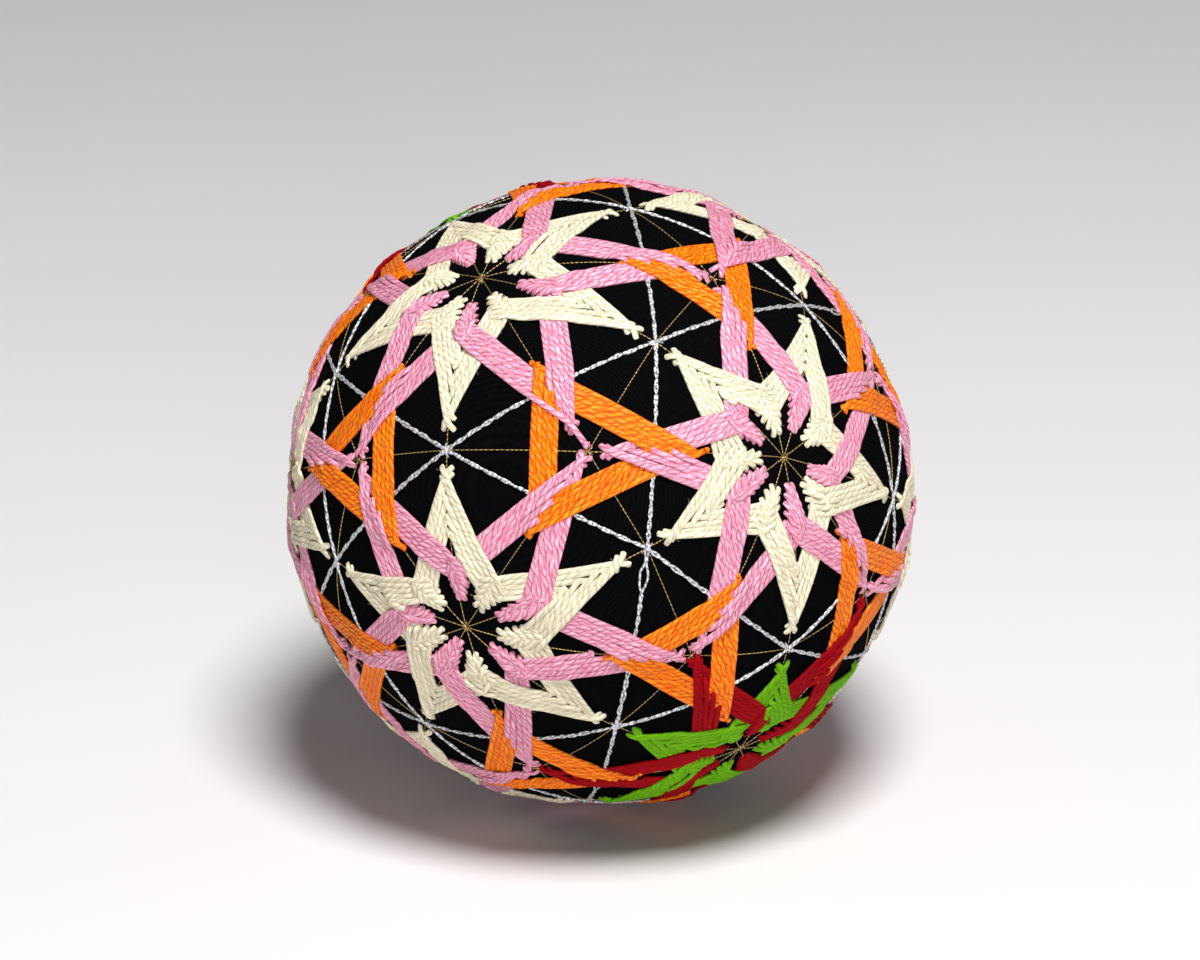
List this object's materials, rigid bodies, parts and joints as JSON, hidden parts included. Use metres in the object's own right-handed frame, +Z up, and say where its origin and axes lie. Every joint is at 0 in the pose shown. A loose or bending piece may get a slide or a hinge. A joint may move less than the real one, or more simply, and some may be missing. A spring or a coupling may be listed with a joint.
{
  "type": "temari ball",
  "caption": "Thread-wound decorative ball with woven, stitched stars and triangles over its whole surface, resting on a small flat spot.",
  "frame": {"origin": "under the ball's centre, on the plane of the flat spot it rests on", "axes": "+Z up, with the side shown in the picture facing -Y"},
  "size_m": [0.0902, 0.09, 0.0887],
  "materials": {
    "black_thread": "matte black sewing thread wound in all directions",
    "cream_thread": "matte cream cotton thread with fine loose fibres",
    "pink_thread": "silky rose pink perle thread with a visible twist",
    "orange_thread": "silky orange perle thread with a visible twist",
    "green_thread": "leaf green cotton thread",
    "dark_red_thread": "dark red cotton thread"
  },
  "bodies": {
    "root": {"cream_star_A": "cream_thread", "cream_star_B": "cream_thread", "cream_star_C": "cream_thread", "cream_star_E": "cream_thread", "cream_star_F": "cream_thread", "cream_star_G": "cream_thread", "cream_star_H": "cream_thread", "cream_star_I": "cream_thread", "cream_star_J": "cream_thread", "cream_star_K": "cream_thread", "green_star_D": "green_thread", "green_star_N": "green_thread", "orange_triangle_ABC": "orange_thread", "orange_triangle_ABE": "orange_thread", "orange_triangle_ACF": "orange_thread", "orange_triangle_AEN": "orange_thread", "orange_triangle_AFN": "orange_thread", "orange_triangle_BCD": "orange_thread", "orange_triangle_BDG": "orange_thread", "orange_triangle_BEG": "orange_thread", "orange_triangle_CDH": "orange_thread", "orange_triangle_CFH": "orange_thread", "orange_triangle_DGJ": "orange_thread", "orange_triangle_DHJ": "orange_thread", "orange_triangle_EGI": "orange_thread", "orange_triangle_EIN": "orange_thread", "orange_triangle_FHK": "orange_thread", "orange_triangle_FKN": "orange_thread", "orange_triangle_GIJ": "orange_thread", "orange_triangle_HJK": "orange_thread", "orange_triangle_IJK": "orange_thread", "orange_triangle_IKN": "orange_thread", "pink_star_A": "pink_thread", "pink_star_B": "pink_thread", "pink_star_C": "pink_thread", "pink_star_E": "pink_thread", "pink_star_F": "pink_thread", "pink_star_G": "pink_thread", "pink_star_H": "pink_thread", "pink_star_I": "pink_thread", "pink_star_J": "pink_thread", "pink_star_K": "pink_thread", "red_star_D": "dark_red_thread", "red_star_N": "dark_red_thread", "wound_ball": "black_thread"}
  },
  "joints": []
}
